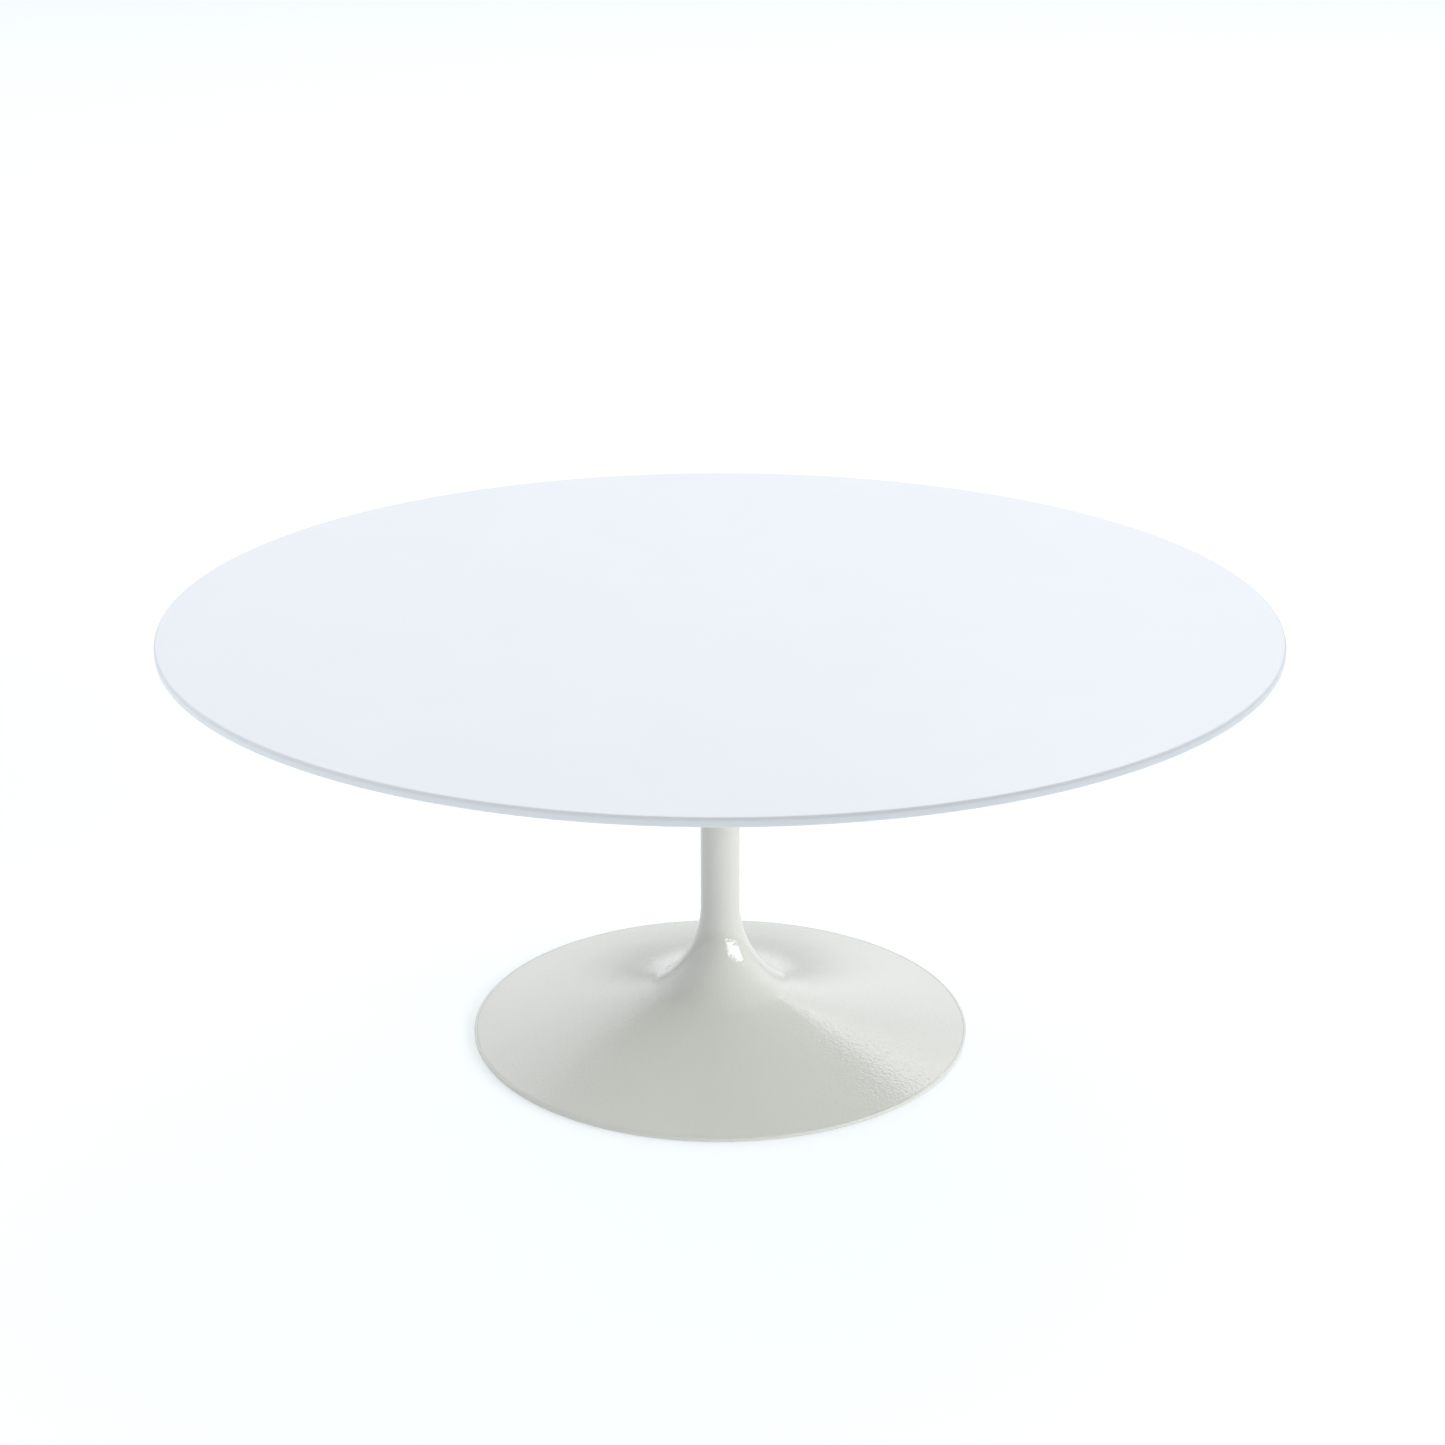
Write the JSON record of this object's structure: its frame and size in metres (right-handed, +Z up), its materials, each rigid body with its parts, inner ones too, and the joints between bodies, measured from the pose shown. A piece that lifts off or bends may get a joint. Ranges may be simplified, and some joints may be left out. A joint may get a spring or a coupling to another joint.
{
  "type": "round pedestal table",
  "caption": "Low round table: a thin bevelled white top on a slim stem that flares into a wide trumpet foot with screw-in levelling glides.",
  "frame": {"origin": "on the floor under the middle of the stem", "axes": "+Z up along the stem, +X to the right and -Y towards the front"},
  "size_m": [0.914, 0.914, 0.376],
  "materials": {
    "lacquered_board": "white satin lacquer on board",
    "powder_coat": "gloss off-white powder coat with a fine orange-peel texture",
    "zinc_steel": "bright zinc plate",
    "brass": "turned brass",
    "nylon": "moulded natural nylon"
  },
  "bodies": {
    "frame": {"table_top": "lacquered_board", "mounting_plate": "powder_coat", "pedestal": "powder_coat", "tie_rod": "zinc_steel", "clamp_washer": "zinc_steel", "spring_washer": "zinc_steel", "clamp_nut": "zinc_steel", "plate_screw_1": "zinc_steel", "plate_screw_2": "zinc_steel", "plate_screw_3": "zinc_steel", "plate_screw_4": "zinc_steel", "plate_screw_5": "zinc_steel", "plate_screw_6": "zinc_steel", "threaded_insert_1": "brass", "threaded_insert_2": "brass", "threaded_insert_3": "brass", "threaded_insert_4": "brass", "threaded_insert_5": "brass", "threaded_insert_6": "brass"},
    "glide_pad_1": {"glide_pad_1": "nylon"},
    "glide_stud_1": {"glide_stud_1": "zinc_steel"},
    "glide_pad_2": {"glide_pad_2": "nylon"},
    "glide_stud_2": {"glide_stud_2": "zinc_steel"},
    "glide_pad_3": {"glide_pad_3": "nylon"},
    "glide_stud_3": {"glide_stud_3": "zinc_steel"},
    "glide_pad_4": {"glide_pad_4": "nylon"},
    "glide_stud_4": {"glide_stud_4": "zinc_steel"}
  },
  "joints": [
    {"name": "glide_1_rise", "type": "slide", "parent": "frame", "child": "glide_pad_1", "axis": [0, 0, -1], "range_m": [0, 0.004]},
    {"name": "glide_1_turn", "type": "hinge", "parent": "glide_pad_1", "child": "glide_stud_1", "pos_m": [0.10253, 0.10253, 0.005], "axis": [0, 0, -1], "range_deg": [0, 1440]},
    {"name": "glide_2_rise", "type": "slide", "parent": "frame", "child": "glide_pad_2", "axis": [0, 0, -1], "range_m": [0, 0.004]},
    {"name": "glide_2_turn", "type": "hinge", "parent": "glide_pad_2", "child": "glide_stud_2", "pos_m": [-0.10253, 0.10253, 0.005], "axis": [0, 0, -1], "range_deg": [0, 1440]},
    {"name": "glide_3_rise", "type": "slide", "parent": "frame", "child": "glide_pad_3", "axis": [0, 0, -1], "range_m": [0, 0.004]},
    {"name": "glide_3_turn", "type": "hinge", "parent": "glide_pad_3", "child": "glide_stud_3", "pos_m": [-0.10253, -0.10253, 0.005], "axis": [0, 0, -1], "range_deg": [0, 1440]},
    {"name": "glide_4_rise", "type": "slide", "parent": "frame", "child": "glide_pad_4", "axis": [0, 0, -1], "range_m": [0, 0.004]},
    {"name": "glide_4_turn", "type": "hinge", "parent": "glide_pad_4", "child": "glide_stud_4", "pos_m": [0.10253, -0.10253, 0.005], "axis": [0, 0, -1], "range_deg": [0, 1440]}
  ],
  "couplings": [
    {"joint": "glide_1_turn", "follows": "glide_1_rise", "rad_per_m": 6283.2},
    {"joint": "glide_2_turn", "follows": "glide_2_rise", "rad_per_m": 6283.2},
    {"joint": "glide_3_turn", "follows": "glide_3_rise", "rad_per_m": 6283.2},
    {"joint": "glide_4_turn", "follows": "glide_4_rise", "rad_per_m": 6283.2}
  ]
}
